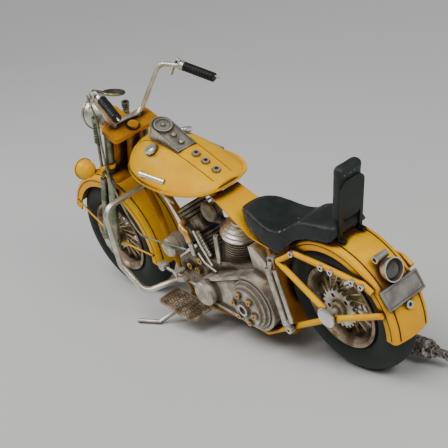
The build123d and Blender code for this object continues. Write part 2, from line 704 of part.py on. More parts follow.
def fork_legs():
    """The two rigid rear legs, each ending in the plate that holds the axle."""
    leg = rod(aside(LEG_TOP, FORK_Y), aside(LEG_LOW, FORK_Y), FORK_R)
    span = LEG_LOW - LEG_TOP
    collar = rod(aside(LEG_TOP + span * 0.30, FORK_Y), aside(LEG_TOP + span * 0.34, FORK_Y), 2.7)
    corners = ((LEG_LOW.X, LEG_LOW.Z, 3.2), (SPRINGER_LOW.X, SPRINGER_LOW.Z, 2.8), (WHEELBASE, WHEEL_R, 3.2))
    pads = [Pos(x, z) * Circle(radius) for x, z, radius in corners]
    plane = Plane(origin=(0, 11.5, 0), x_dir=(1, 0, 0), z_dir=(0, -1, 0))
    rocker = extrude(plane * make_hull([edge for pad in pads for edge in pad.edges()]), amount=-2.2)
    return left_and_right(leg + collar + rocker)


def springer_legs():
    """The slimmer front legs, the rods above them and the ring-topped spring posts."""
    leg = rod(aside(SPRINGER_TOP, FORK_Y), aside(SPRINGER_LOW, FORK_Y), 1.9)
    upper = rod(aside(SPRINGER_TOP, FORK_Y), (171.0, 10.4, 101.4), 0.9)
    base = Vector(171.4, 10.4, 101.0)
    top = Vector(164.6, 10.4, 117.2)
    span = top - base
    coils = 8
    profile = [(0, 0)]
    step = (span.length - 2.5) / coils
    for index in range(coils):
        profile += [(1.4, step * index), (2.0, step * (index + 0.5))]
    profile += [(1.4, span.length - 2.5), (2.2, span.length - 2.4), (2.2, span.length), (1.2, span.length),
                (1.2, span.length - 1.5), (0, span.length - 1.5)]
    post = turned(base, span, profile)
    return left_and_right(leg + upper + post)


def clamp_plate(distance, thick, back, front, half):
    """A flat yoke across the fork, square to the steering axis."""
    plane = Plane(origin=along_head(distance), x_dir=(0, 1, 0), z_dir=HEAD_DOWN * -1)
    middle = (front + back) / 2
    # The plane's own Y axis points forward of the steering axis or behind it.
    sign = 1 if plane.y_dir.X > 0 else -1
    outline = RectangleRounded(2 * half, front - back, CLAMP_CORNER)
    return extrude(plane * Pos(0, sign * middle) * outline, amount=-thick)


def fork_clamps():
    """Both yokes, the steering stem between them and the sheet cover between the legs."""
    top = clamp_plate(-0.6, 2.6, -4.0, 9.4, 15.2) + clamp_plate(-0.6, 1.6, 4.0, 20.6, 3.4)
    low = clamp_plate(28.0, 2.8, -3.4, 11.5, 15.2)
    stem = rod(along_head(-2.0), along_head(31.0), STEM_R)
    plane = Plane(origin=along_head(1.0, 5.0), x_dir=(0, 1, 0), z_dir=HEAD_DOWN)
    cover = extrude(plane * Rectangle(2 * (FORK_Y - FORK_R) + 0.1, 0.8), amount=27.8)
    nut = turned(along_head(-0.8), HEAD_DOWN * -1, [(0, 0), (3.2, 0), (3.0, 1.6), (0, 2.2)])
    legs = [rod(aside(LEG_TOP, y), aside(LEG_LOW, y), FORK_R) for y in (FORK_Y, -FORK_Y)]
    return top + low + stem + cover + nut - legs[0] - legs[1]


BAR_TILT = 0.08


def bar_point(x, y, z):
    """A point on the handlebar, which is set a little higher on the left."""
    return (x, y, z + BAR_TILT * y)


def handlebar():
    points = [bar_point(104.2, -30.6, 130.2), bar_point(121.4, -26.0, 137.0), bar_point(137.6, -22.4, 138.4),
              bar_point(150.6, -9.8, 113.6), bar_point(150.6, 9.8, 113.6), bar_point(137.6, 22.4, 138.4),
              bar_point(121.4, 26.0, 137.0), bar_point(104.2, 30.6, 130.2)]
    bar = bent_tube(points, 1.3, 7)
    for side in (1, -1):
        bar = bar + rod(bar_point(152.0, side * 8.0, 109.4), bar_point(150.6, side * 8.0, 113.6), 1.6)
    return bar


def grip_line(side):
    start = Vector(bar_point(120.2, side * 26.3, 136.5))
    end = Vector(bar_point(104.2, side * 30.6, 130.2))
    return start, end


def grips():
    pieces = []
    for side in (1, -1):
        start, end = grip_line(side)
        length = (end - start).length + 1.0
        profile = [(0, 0), (2.5, 0)]
        ribs = 10
        step = (length - 1) / ribs
        for index in range(ribs):
            low = 0.4 + step * index
            profile += [(2.5, low), (2.5, low + step * 0.6)]
            profile += [(2.2, low + step * 0.7), (2.2, low + step * 0.95)]
        profile += [(2.5, length - 0.4), (2.0, length), (0, length)]
        sleeve = turned(start, end - start, profile)
        pieces.append(sleeve - rod(start - (end - start), end, 1.3))
    return pieces


def bar_levers():
    """On each side, the lever bracket, the lever and the rod end past the grip."""
    pieces = []
    for side in (1, -1):
        start, end = grip_line(side)
        back = (end - start).normalized()
        seat = start - back * 2.6
        bracket = ring(seat, back, 2.6, 1.3, 2.5)
        knee = seat + Vector(2.4, side * 0.4, 3.0)
        arm = rod(seat + Vector(0, side * 0.4, 1.8), knee, 0.9)
        lever = rod(knee, seat + Vector(13.0, side * 1.0, -6.6), 0.65) + Pos(knee) * Sphere(0.9)
        pieces.append(bracket + arm + lever)
        pieces.append(rod(end + back * 0.4 + Vector(0, 0, 1.0), end + back * 4.2 + Vector(0, 0, 1.0), 0.6))
    return pieces


def mirror_piece():
    centre = Vector(128.2, 14.2, 137.0)
    disc = turned(centre, (-0.10, -0.28, 0.955), [(0, -0.7), (5.6, -0.7), (6.0, 0), (5.6, 0.7), (0, 0.7)])
    return disc + rod(centre + Vector(3.6, 3.0, 1.0), bar_point(138.6, 20.2, 138.0), 0.8)


HEADLIGHT_FACE = Vector(182.0, 0, 113.6)


def headlight():
    profile = [(0, -15.0), (3.0, -14.4), (6.4, -11.2), (8.4, -6.4), (8.9, -1.6), (9.3, -1.6), (9.3, 0),
               (8.3, 0),
               (8.0, -2.0), (7.6, -6.0), (5.8, -10.4), (2.6, -13.2), (0, -13.8)]
    bucket = turned(HEADLIGHT_FACE, (1, 0, 0), profile)
    stay = rod((168.2, 0, 108.6), (171.6, 0, 107.8), 1.6)
    return bucket + stay


LAMP_FACE = Vector(173.0, 23.4, 91.4)


def spot_lamps():
    """On each side, a small round lamp and the arm that holds it to the fork leg."""
    profile = [(0, -8.2), (2.4, -7.8), (4.7, -5.4), (5.6, -1.2), (5.9, -1.2), (5.9, 0), (5.0, 0),
               (4.8, -1.6), (4.0, -4.8), (2.0, -6.8), (0, -7.2)]
    bowl = turned(LAMP_FACE, (1, 0, 0), profile)
    arm = bent_tube([(162.2, 14.6, 89.8), (166.6, 17.6, 88.0), (170.6, 21.8, 88.6)], 1.2, 3)
    foot = ring((161.4, 12.5, 91.8), (0.42, 0, -0.907), 3.0, FORK_R, 2.8)
    return left_and_right(bowl + arm + foot)


def lamp_lenses():
    big = turned(HEADLIGHT_FACE, (1, 0, 0), [(0, -1.7), (8.0, -1.7), (8.2, -0.6), (5.0, 0.8), (0, 1.4)])
    small = turned(LAMP_FACE, (1, 0, 0), [(0, -1.3), (4.7, -1.3), (4.9, -0.5), (3.0, 0.5), (0, 0.9)])
    return [big] + left_and_right(small)


def control_cable():
    """The bare cable from the left bar, down beside the fork and back to the engine."""
    points = [(137.4, 24.6, 139.0), (146.4, 19.6, 122.0), (155.4, 17.2, 104.0), (160.6, 16.4, 84.0),
              (154.6, 17.4, 66.0), (142.4, 19.8, 54.6), (126.0, 20.8, 53.8), (108.6, 14.6, 48.6)]
    return bent_tube(points, 0.6, 6.5)


# ---------------------------------------------------------------- the whole machine

def solids_of(shape):
    """Every solid in a shape, or in a list of shapes."""
    if isinstance(shape, (list, tuple)):
        return [solid for piece in shape for solid in solids_of(piece)]
    return list(shape.solids())


PIECES = {
    "frame_backbone": frame_backbone(),
    "frame_down_tubes": frame_down_tubes(),
    "lower_rails": lower_rails(),
    "rear_stays": rear_stays(),
    "shocks": shocks(),
    "crash_bars": [crash_bar(1), crash_bar(-1)],
    "seat_plate": seat_plate(),
    "tank_shell": tank_shell(),
    "tank_pan": tank_pan(),
    "tank_badges": tank_badges(),
    "filler_caps": filler_caps(),
    "ring_rivets": ring_rivets(),
    "dash_console": dash_console(),
    "dash_instruments": dash_instruments(),
    "seat_pad": seat_pad(),
    "backrest_pad": backrest_pad(),
    "backrest_frame": backrest_frame(),
    "rear_fender": rear_fender(),
    "tail_light": tail_light(),
    "tail_light_lens": tail_light_lens(),
    "number_plate": number_plate(),
    "crankcase": crankcase(),
    "front_cylinder": front_cylinder(),
    "rear_cylinder": rear_cylinder(),
    "rear_dome": rear_dome(),
    "pushrod_tubes": pushrod_tubes(),
    "intake_elbow": intake_elbow(),
    "air_cleaner": air_cleaner(),
    "generator": generator(),
    "primary_cover": primary_cover(),
    "clutch_dome": clutch_dome(),
    "brass_bolts": brass_bolts(),
    "oil_tank": oil_tank(),
    "floorboards": floorboards(),
    "shift_linkage": shift_linkage(),
    "engine_wires": engine_wires(),
    "exhaust_pipes": exhaust_pipes(),
    "muffler": muffler(),
    "rear_axle": rear_axle(),
    "fork_legs": fork_legs(),
    "springer_legs": springer_legs(),
    "fork_clamps": fork_clamps(),
    "handlebar": handlebar(),
    "grips": grips(),
    "bar_levers": bar_levers(),
    "mirror": mirror_piece(),
    "headlight": headlight(),
    "spot_lamps": spot_lamps(),
    "lamp_lenses": lamp_lenses(),
    "front_fender": front_fender(),
    "front_axle": front_axle(),
    "control_cable": control_cable(),
    "front_tyre": tyre(FRONT_AXLE),
    "front_rim": rim(FRONT_AXLE),
    "front_hub": laced_hub(FRONT_AXLE, 9.8, 4.2),
    "rear_tyre": tyre(REAR_AXLE),
    "rear_rim": rim(REAR_AXLE),
    "rear_hub": laced_hub(REAR_AXLE, 10.6, 4.5),
    "rear_sprocket": sprocket(REAR_AXLE),
    "side_stand": side_stand(),
}

# Lean the machine onto its stand, set it on the floor and centre it on its own box.
LEANING = Pos(0, 0, HUB_HEIGHT - WHEEL_R * cos(radians(LEAN))) * Rot(-LEAN, 0, 0)
BOX = Compound([LEANING * solid for shape in PIECES.values() for solid in solids_of(shape)]).bounding_box()
PLACE = Pos(-(BOX.min.X + BOX.max.X) / 2, -(BOX.min.Y + BOX.max.Y) / 2, 0) * LEANING


def write_parts():
    os.makedirs("parts", exist_ok=True)
    for name, shape in PIECES.items():
        solids = [PLACE * solid for solid in solids_of(shape)]
        export_step(Compound(solids) if len(solids) > 1 else solids[0], "parts/" + name + ".step")


write_parts()
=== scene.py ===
import json
from math import cos, radians, sin, sqrt

import bmesh
import bpy
from mathutils import Matrix, Vector
from mathutils.bvhtree import BVHTree


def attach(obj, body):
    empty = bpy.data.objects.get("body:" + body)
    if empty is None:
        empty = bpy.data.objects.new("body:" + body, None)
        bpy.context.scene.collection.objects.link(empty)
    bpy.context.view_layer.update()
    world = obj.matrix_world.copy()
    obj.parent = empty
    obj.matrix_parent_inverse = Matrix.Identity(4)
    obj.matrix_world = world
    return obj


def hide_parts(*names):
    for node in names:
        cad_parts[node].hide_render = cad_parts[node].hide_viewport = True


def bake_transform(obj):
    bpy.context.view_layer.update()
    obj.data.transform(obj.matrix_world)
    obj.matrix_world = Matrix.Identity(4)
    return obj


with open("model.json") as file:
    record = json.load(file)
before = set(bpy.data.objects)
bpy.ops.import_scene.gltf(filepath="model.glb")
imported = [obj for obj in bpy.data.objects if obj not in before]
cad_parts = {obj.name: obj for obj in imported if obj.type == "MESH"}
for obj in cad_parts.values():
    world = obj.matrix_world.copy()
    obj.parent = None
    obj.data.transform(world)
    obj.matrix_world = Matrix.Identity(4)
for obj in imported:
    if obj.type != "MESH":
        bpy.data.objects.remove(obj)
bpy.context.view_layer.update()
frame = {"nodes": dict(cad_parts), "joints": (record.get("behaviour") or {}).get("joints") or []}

MM = 0.001

# ---------------------------------------------------------------- where things are

def joint_called(name):
    return next(joint for joint in frame["joints"] if joint["name"] == name)


REAR_SPIN = joint_called("rear_wheel_spin")
FRONT_SPIN = joint_called("front_wheel_spin")
WHEEL_RADIUS = 36.7     # mm
AXLE = Vector(REAR_SPIN["pos_m"])
LEFT = Vector(REAR_SPIN["axis"]).normalized()
AHEAD = Vector((1, 0, 0))
UPRIGHT = AHEAD.cross(LEFT)
WHEELBASE = (Vector(FRONT_SPIN["pos_m"]) - AXLE).length / MM


def on_bike(x, y, z):
    """A place in mm ahead of the rear axle, left of the middle and up from the rear tyre's foot, as it leans."""
    return AXLE + AHEAD * (x * MM) + LEFT * (y * MM) + UPRIGHT * ((z - WHEEL_RADIUS) * MM)


def round_wheel(centre_x, radius, angle, y):
    """A place on a circle about a wheel's axle, the angle counted up from straight ahead."""
    turn = radians(angle)
    return on_bike(centre_x + radius * cos(turn), y, WHEEL_RADIUS + radius * sin(turn))


# ---------------------------------------------------------------- finishes

class Amount:
    """What changes over a surface. It holds a node's socket, and a number takes arithmetic."""

    def __init__(self, finish, socket):
        self.finish = finish
        self.socket = socket

    def maths(self, operation, first, second=0.0, limit=False):
        settings = {"operation": operation, "use_clamp": limit}
        return self.finish.add("ShaderNodeMath", settings, {0: first, 1: second})

    def __add__(self, other):
        return self.maths("ADD", self, other)

    __radd__ = __add__

    def __sub__(self, other):
        return self.maths("SUBTRACT", self, other)

    def __rsub__(self, other):
        return self.maths("SUBTRACT", other, self)

    def __mul__(self, other):
        return self.maths("MULTIPLY", self, other)

    __rmul__ = __mul__

    def limited(self):
        return self.maths("ADD", self, 0.0, limit=True)

    def between(self, low, high):
        """0 below low, 1 above high, and smooth in between."""
        settings = {"interpolation_type": "SMOOTHSTEP"}
        sockets = {"Value": self, "From Min": low, "From Max": high}
        return self.finish.add("ShaderNodeMapRange", settings, sockets)


class Finish:
    """A material being made: one shader, and the nodes that vary what it shows."""

    def __init__(self, name, metallic=0.0, coat=0.0, coat_roughness=0.1, specular=0.5):
        self.material = bpy.data.materials.new(name)
        self.material.use_nodes = True
        self.tree = self.material.node_tree
        self.shader = self.tree.nodes["Principled BSDF"]
        self.shader.inputs["Metallic"].default_value = metallic
        self.shader.inputs["Coat Weight"].default_value = coat
        self.shader.inputs["Coat Roughness"].default_value = coat_roughness
        self.shader.inputs["Specular IOR Level"].default_value = specular
        self.place = self.add("ShaderNodeTexCoord", {}, {}, "Object")

    def set_socket(self, socket, value):
        if isinstance(value, Amount):
            self.tree.links.new(value.socket, socket)
        elif isinstance(value, (tuple, list)) and len(value) == 3 and socket.type == "RGBA":
            socket.default_value = (*value, 1.0)
        else:
            socket.default_value = value

    def add(self, kind, settings, sockets, out=0):
        """One node: its settings, then its sockets, and the output asked for."""
        node = self.tree.nodes.new(kind)
        for name, value in settings.items():
            setattr(node, name, value)
        for name, value in sockets.items():
            self.set_socket(node.inputs[name], value)
        return Amount(self, node.outputs[out])

    def cloud(self, size, detail=3.0, roughness=0.55):
        """Soft blotches about size mm across, from 0 to 1."""
        sockets = {"Vector": self.place, "Scale": 1 / (size * MM), "Detail": detail, "Roughness": roughness}
        return self.add("ShaderNodeTexNoise", {"noise_dimensions": "3D"}, sockets, "Fac")

    def pits(self, size):
        """Round cells about size mm across, 0 at their centres."""
        sockets = {"Vector": self.place, "Scale": 1 / (size * MM), "Randomness": 0.9}
        return self.add("ShaderNodeTexVoronoi", {"feature": "F1"}, sockets, "Distance")

    def hollow(self, reach):
        """Nears 1 where other surfaces crowd in within reach mm, and is 0 in the open."""
        # Ambient occlusion: where a finish darkens its colour by this, that darkening is painted shade.
        settings = {"samples": 8, "only_local": False}
        open_air = self.add("ShaderNodeAmbientOcclusion", settings, {"Distance": reach * MM}, "AO")
        return 1 - open_air

    def edge(self, reach, sharpness=9.0):
        """Up to 1 within about reach mm of an edge, and 0 on flats."""
        soft = self.add("ShaderNodeBevel", {"samples": 4}, {"Radius": reach * MM})
        true = self.add("ShaderNodeNewGeometry", {}, {}, "Normal")
        settings = {"operation": "DOT_PRODUCT"}
        match = self.add("ShaderNodeVectorMath", settings, {0: soft, 1: true}, "Value")
        return ((1 - match) * sharpness).limited()

    def ridge(self):
        """Over 0.5 on the raised curves of a dense mesh, under 0.5 in its dips."""
        return self.add("ShaderNodeNewGeometry", {}, {}, "Pointiness")

    def blend(self, share, first, second):
        """The first colour where share is 0, the second where it is 1."""
        settings = {"data_type": "RGBA", "clamp_factor": True}
        return self.add("ShaderNodeMix", settings, {0: share, 6: first, 7: second}, 2)

    def show(self, colour, roughness, relief=None, height=0.1):
        """Connects the shader. height is the relief's depth in mm."""
        self.set_socket(self.shader.inputs["Base Color"], colour)
        self.set_socket(self.shader.inputs["Roughness"], roughness)
        if relief is not None:
            sockets = {"Height": relief, "Distance": height * MM, "Strength": 1.0}
            bump = self.add("ShaderNodeBump", {}, sockets, "Normal")
            self.set_socket(self.shader.inputs["Normal"], bump)
        return self.material


def enamel(name, colour, deep, shade, grime_and_shade=1.0, coat=0.05):
    """Hand-brushed enamel over tin, washed dark brown in its seams and darkened there further with painted shade.
    """
    finish = Finish(name, coat=coat, coat_roughness=0.3, specular=0.18)
    broad = finish.cloud(24, 2.0)
    streaks = finish.cloud(6, 4.0, 0.7)
    fine = finish.cloud(1.8, 4.0, 0.65)
    specks = finish.cloud(0.8, 2.0).between(0.68, 0.75)
    # Darker in the seams and where other surfaces crowd in: partly dark-brown washing, partly painted shade.
    seams = (finish.hollow(5.0) * (0.6 + streaks + fine * 0.6) * grime_and_shade).between(0.14, 0.62)
    worn = (finish.edge(0.5, 6.0) * (0.3 + fine)).between(0.3, 0.9)
    base = finish.blend(broad.between(0.35, 0.68), colour, deep)
    base = finish.blend((streaks * 0.8 * grime_and_shade).between(0.42, 0.62) * 0.35, base, deep)
    base = finish.blend(specks * 0.5, base, shade)
    base = finish.blend(worn * 0.4, base, shade)
    base = finish.blend(seams, base, shade)
    roughness = 0.36 + fine * 0.14 + seams * 0.3
    return finish.show(base, roughness, streaks * 0.6 + fine, 0.06)


def aged_metal(name, colour, light, wash_and_shade_colour, roughness=0.38, wash_share=1.0, grain=0.07, grain_size=0.9):
    """Plated or cast metal, washed brown by brush and darkened with painted shade in its hollows, and rubbed bright
    on its edges, where the brightening is partly a painted highlight.
    """
    finish = Finish(name, metallic=0.86)
    broad = finish.cloud(7, 3.0)
    fine = finish.cloud(1.3, 4.0, 0.75)
    deep = finish.hollow(3.4)
    # Painted shade where other surfaces crowd in, with brown washing in patches at random.
    shade_and_wash = (deep * 1.7 + (fine * 0.6 + broad * 0.4) * wash_share).between(0.42, 0.86)
    # Brighter edges: partly rubbed wear, partly a painted highlight.
    rubbed = finish.edge(0.4) * (1 - shade_and_wash * 0.5)
    base = finish.blend(broad.between(0.35, 0.65), colour, light)
    base = finish.blend(shade_and_wash * 0.94, base, wash_and_shade_colour)
    base = finish.blend(rubbed * 0.85, base, light)
    finish.set_socket(finish.shader.inputs["Metallic"], 0.88 - shade_and_wash * 0.5)
    rough = roughness + fine * 0.16 + shade_and_wash * 0.22 - rubbed * 0.12
    return finish.show(base, rough, finish.cloud(grain_size, 4.0, 0.7), grain)


def cast_metal(name, colour, light, wash_and_shade_colour):
    """Rough sand-cast metal with a hammered skin."""
    finish = Finish(name, metallic=0.8)
    cells = finish.pits(2.0)
    fine = finish.cloud(1.1, 4.0, 0.75)
    # Darker in the hammered pits and where other surfaces crowd in: partly dark washing, partly painted shade.
    low = (finish.hollow(2.4) + (0.55 - cells) * 1.1 + fine * 0.7).between(0.35, 0.85)
    base = finish.blend(fine.between(0.4, 0.65), colour, light)
    base = finish.blend(low * 0.95, base, wash_and_shade_colour)
    return finish.show(base, 0.32 + fine * 0.2 + low * 0.25, cells + fine * 0.5, 0.5)


def worn_leather(name, colour, rubbed_colour):
    """Black covering with a fine grain, rubbed pale grey along its creases."""
    finish = Finish(name, specular=0.35)
    grain = finish.pits(0.7)
    broad = finish.cloud(11, 3.0)
    fine = finish.cloud(1.5, 4.0, 0.7)
    raised = finish.ridge().between(0.512, 0.565)
    worn = (raised * (0.55 + fine)).between(0.15, 0.6)
    base = finish.blend(broad.between(0.35, 0.75), colour, (0.020, 0.024, 0.023))
    base = finish.blend(worn * 0.7, base, rubbed_colour)
    return finish.show(base, 0.34 + fine * 0.2 + broad * 0.08, grain * 0.5 + fine, 0.07)


def rubber(name, colour, dusty, roughness):
    """Matte rubber with a dusty bloom."""
    finish = Finish(name, specular=0.3)
    broad = finish.cloud(16, 3.0)
    fine = finish.cloud(1.1, 4.0, 0.7)
    base = finish.blend((broad * 0.6 + fine * 0.5).between(0.42, 0.72), colour, dusty)
    return finish.show(base, roughness + fine * 0.14, fine, 0.05)


def lamp_glass(name, colour):
    """Cloudy glass under a glossy coat."""
    finish = Finish(name, coat=1.0, coat_roughness=0.03, specular=0.7)
    smoke = finish.cloud(4, 2.0)
    base = finish.blend(smoke, colour, tuple(channel * 0.4 for channel in colour))
    return finish.show(base, 0.08 + smoke * 0.08)


YELLOW = enamel("yellow_enamel", (0.95, 0.53, 0.0), (0.88, 0.40, 0.0), (0.075, 0.024, 0.004), 1.25)
# Painted shade: a darker copy of the yellow enamel, for the frame and the fork clamps where they lie in shade.
YELLOW_IN_SHADE = enamel("yellow_enamel_frame", (0.62, 0.27, 0.002), (0.30, 0.11, 0.003), (0.03, 0.012, 0.005), 1.8)
PEWTER = aged_metal("pewter", (0.42, 0.385, 0.29), (0.86, 0.82, 0.70), (0.070, 0.042, 0.018), 0.30, 0.95)
DARK_PEWTER = aged_metal("dark_pewter", (0.20, 0.155, 0.095), (0.58, 0.51, 0.39), (0.030, 0.018, 0.009), 0.38, 1.15)
SILVER = aged_metal("worn_silver", (0.56, 0.52, 0.42), (0.82, 0.79, 0.71), (0.075, 0.045, 0.022), 0.27, 0.75)
BRIGHT = aged_metal("bright_silver", (0.68, 0.66, 0.60), (0.92, 0.91, 0.87), (0.09, 0.06, 0.035), 0.22, 0.35)
OLIVE = aged_metal("olive_steel", (0.16, 0.19, 0.115), (0.40, 0.42, 0.31), (0.030, 0.028, 0.012), 0.36, 0.8)
PLATE = aged_metal("plate_steel", (0.25, 0.225, 0.20), (0.42, 0.40, 0.37), (0.07, 0.05, 0.04), 0.45, 0.7, 0.12, 0.6)
BRONZE = aged_metal("bronze", (0.17, 0.105, 0.055), (0.72, 0.60, 0.44), (0.035, 0.016, 0.008), 0.36, 1.0)
BRASS = aged_metal("brass", (0.62, 0.31, 0.055), (0.90, 0.62, 0.24), (0.07, 0.03, 0.010), 0.30, 0.7)
COPPER_RIM = aged_metal("coppery_rim", (0.17, 0.115, 0.065), (0.66, 0.52, 0.38), (0.035, 0.020, 0.010), 0.32, 1.1)
SPOKE = aged_metal("yellowed_spokes", (0.44, 0.32, 0.13), (0.78, 0.66, 0.40), (0.07, 0.035, 0.012), 0.34, 0.8)
MUFFLER = cast_metal("hammered_muffler", (0.20, 0.16, 0.12), (0.66, 0.61, 0.54), (0.025, 0.016, 0.011))
TYRE = rubber("tyre_rubber", (0.006, 0.010, 0.007), (0.014, 0.021, 0.016), 0.5)
GRIP = rubber("grip_rubber", (0.006, 0.006, 0.006), (0.024, 0.023, 0.022), 0.4)
LEATHER = worn_leather("black_leather", (0.008, 0.011, 0.010), (0.26, 0.28, 0.26))
BLACK = enamel("black_enamel", (0.008, 0.013, 0.009), (0.014, 0.020, 0.014), (0.10, 0.10, 0.08), 0.1, 0.05)
GLASS = lamp_glass("smoked_glass", (0.045, 0.038, 0.030))
CLEAR = lamp_glass("lamp_glass", (0.50, 0.48, 0.42))
OLD_MIRROR = aged_metal("old_mirror", (0.055, 0.050, 0.020), (0.20, 0.18, 0.09), (0.02, 0.018, 0.008), 0.34, 0.8)
PINSTRIPE = enamel("pinstripe", (0.025, 0.008, 0.003), (0.04, 0.013, 0.005), (0.012, 0.006, 0.003), 0.3, 0.0)

FINISHES = {
    "frame_backbone": YELLOW_IN_SHADE, "frame_down_tubes": YELLOW_IN_SHADE, "lower_rails": YELLOW, "rear_stays": YELLOW,
    "seat_plate": YELLOW, "tank_shell": YELLOW, "tank_pan": YELLOW, "rear_fender": YELLOW, "front_fender": YELLOW,
    "spot_lamps": YELLOW, "fork_clamps": YELLOW_IN_SHADE,
    "crankcase": DARK_PEWTER, "front_cylinder": DARK_PEWTER, "rear_cylinder": DARK_PEWTER,
    "air_cleaner": DARK_PEWTER, "exhaust_pipes": DARK_PEWTER,
    "generator": PEWTER, "primary_cover": PEWTER, "clutch_dome": PEWTER, "oil_tank": PEWTER,
    "pushrod_tubes": PEWTER, "dash_console": PEWTER, "dash_instruments": PEWTER, "shocks": PEWTER,
    "rear_sprocket": PEWTER, "shift_linkage": PEWTER, "side_stand": SILVER,
    "rear_dome": BRIGHT, "tank_badges": BRIGHT, "filler_caps": BRIGHT, "ring_rivets": BRIGHT, "rear_axle": BRIGHT,
    "engine_wires": SILVER, "crash_bars": SILVER, "tail_light": SILVER, "handlebar": SILVER, "bar_levers": SILVER,
    "headlight": SILVER, "front_axle": SILVER, "number_plate": PLATE, "muffler": MUFFLER,
    "fork_legs": OLIVE, "springer_legs": OLIVE, "floorboards": BRONZE, "intake_elbow": BRASS, "brass_bolts": BRASS,
    "front_rim": COPPER_RIM, "rear_rim": COPPER_RIM, "front_hub": SPOKE, "rear_hub": SPOKE,
    "front_tyre": TYRE, "rear_tyre": TYRE, "grips": GRIP, "backrest_frame": BLACK,
    "tail_light_lens": GLASS, "lamp_lenses": CLEAR, "mirror": OLD_MIRROR,
}


# Edges sharper than these, in degrees, stay crisp.
FRAME_CREASE = 32
WIRE_CREASE = 50
PAD_CREASE = 80


def even_shading(angle):
    """Modifier nodes that shade smooth, except along edges sharper than an angle in degrees."""
    tree = bpy.data.node_groups.new("even_shading", "GeometryNodeTree")
    for way in ("INPUT", "OUTPUT"):
        tree.interface.new_socket("Geometry", in_out=way, socket_type="NodeSocketGeometry")
    start, end = tree.nodes.new("NodeGroupInput"), tree.nodes.new("NodeGroupOutput")
    bend = tree.nodes.new("GeometryNodeInputMeshEdgeAngle")
    gentle = tree.nodes.new("FunctionNodeCompare")
    gentle.operation = "LESS_EQUAL"
    gentle.inputs["B"].default_value = radians(angle)
    faces = tree.nodes.new("GeometryNodeSetShadeSmooth")
    faces.domain = "FACE"
    edges = tree.nodes.new("GeometryNodeSetShadeSmooth")
    edges.domain = "EDGE"
    tree.links.new(bend.outputs["Unsigned Angle"], gentle.inputs["A"])
    tree.links.new(gentle.outputs["Result"], edges.inputs["Shade Smooth"])
    tree.links.new(start.outputs[0], faces.inputs["Geometry"])
    tree.links.new(faces.outputs[0], edges.inputs["Geometry"])
    tree.links.new(edges.outputs[0], end.inputs[0])
    return tree


def dress_frame():
    """Gives each carried-over part its finish, and a modifier that smooths its curved faces."""
    shading = even_shading(FRAME_CREASE)
    for name, material in FINISHES.items():
        node = frame["nodes"][name]
        for slot in node.material_slots:
            slot.material = material
        node.modifiers.new("even_shading", "NODES").node_group = shading


# ---------------------------------------------------------------- making pieces

def smooth(piece, angle):
    """Shades a mesh smooth, except along edges sharper than an angle in degrees."""
    mesh = bmesh.new()
    mesh.from_mesh(piece.data)
    for face in mesh.faces:
        face.smooth = True
    for edge in mesh.edges:
        sharp = len(edge.link_faces) == 2 and edge.calc_face_angle(0) > radians(angle)
        edge.smooth = not sharp
    mesh.to_mesh(piece.data)
    mesh.free()


def put_in_scene(name, data):
    thing = bpy.data.objects.new(name, data)
    bpy.context.scene.collection.objects.link(thing)
    return thing


def add_piece(name, vertices, faces, material):
    mesh = bpy.data.meshes.new(name)
    mesh.from_pydata([tuple(vertex) for vertex in vertices], [], faces)
    mesh.materials.append(material)
    return put_in_scene(name, mesh)


def evaluated_mesh(piece):
    """A new mesh of what a piece's modifiers or curve settings make."""
    return bpy.data.meshes.new_from_object(piece.evaluated_get(bpy.context.evaluated_depsgraph_get()))


def apply_modifiers(piece):
    """Turns what the modifiers make into the piece's own mesh."""
    mesh = evaluated_mesh(piece)
    piece.modifiers.clear()
    piece.data = mesh


def skin(rings):
    """Quads between rings of points, with both ends closed."""
    count = len(rings[0])
    vertices = [point for loop in rings for point in loop]
    faces = []
    for row in range(len(rings) - 1):
        for column in range(count):
            after = (column + 1) % count
            low, high = row * count, (row + 1) * count
            faces.append((low + column, low + after, high + after, high + column))
    faces.append(tuple(reversed(range(count))))
    faces.append(tuple(range((len(rings) - 1) * count, len(rings) * count)))
    return vertices, faces


def through(points, steps=8):
    """A smooth line through points, as closely set points."""
    ends = [points[0]] + list(points) + [points[-1]]
    line = []
    for before, start, end, after in zip(ends, ends[1:], ends[2:], ends[3:]):
        for step in range(steps):
            t = step / steps
            line.append(0.5 * ((2 * start) + (end - before) * t
                               + (2 * before - 5 * start + 4 * end - after) * t ** 2
                               + (3 * start - before - 3 * end + after) * t ** 3))
    return line + [points[-1]]


def wire(name, points, radius, material):
    """A round wire along points, as a mesh."""
    curve = bpy.data.curves.new(name, "CURVE")
    curve.dimensions = "3D"
    curve.bevel_depth = radius * MM
    curve.bevel_resolution = 3
    curve.use_fill_caps = True
    spline = curve.splines.new("POLY")
    spline.points.add(len(points) - 1)
    for slot, point in zip(spline.points, points):
        slot.co = (*point, 1.0)
    holder = put_in_scene(name + "_line", curve)
    mesh = evaluated_mesh(holder)
    bpy.data.objects.remove(holder)
    mesh.name = name
    mesh.materials.clear()
    mesh.materials.append(material)
    piece = put_in_scene(name, mesh)
    smooth(piece, WIRE_CREASE)
    return piece


CLOTH_SCALE = 10.0      # the cloth run is made on a copy this many times larger
CLOTH_FRAMES = 20
CLOTH_PRESSURE = 4.0


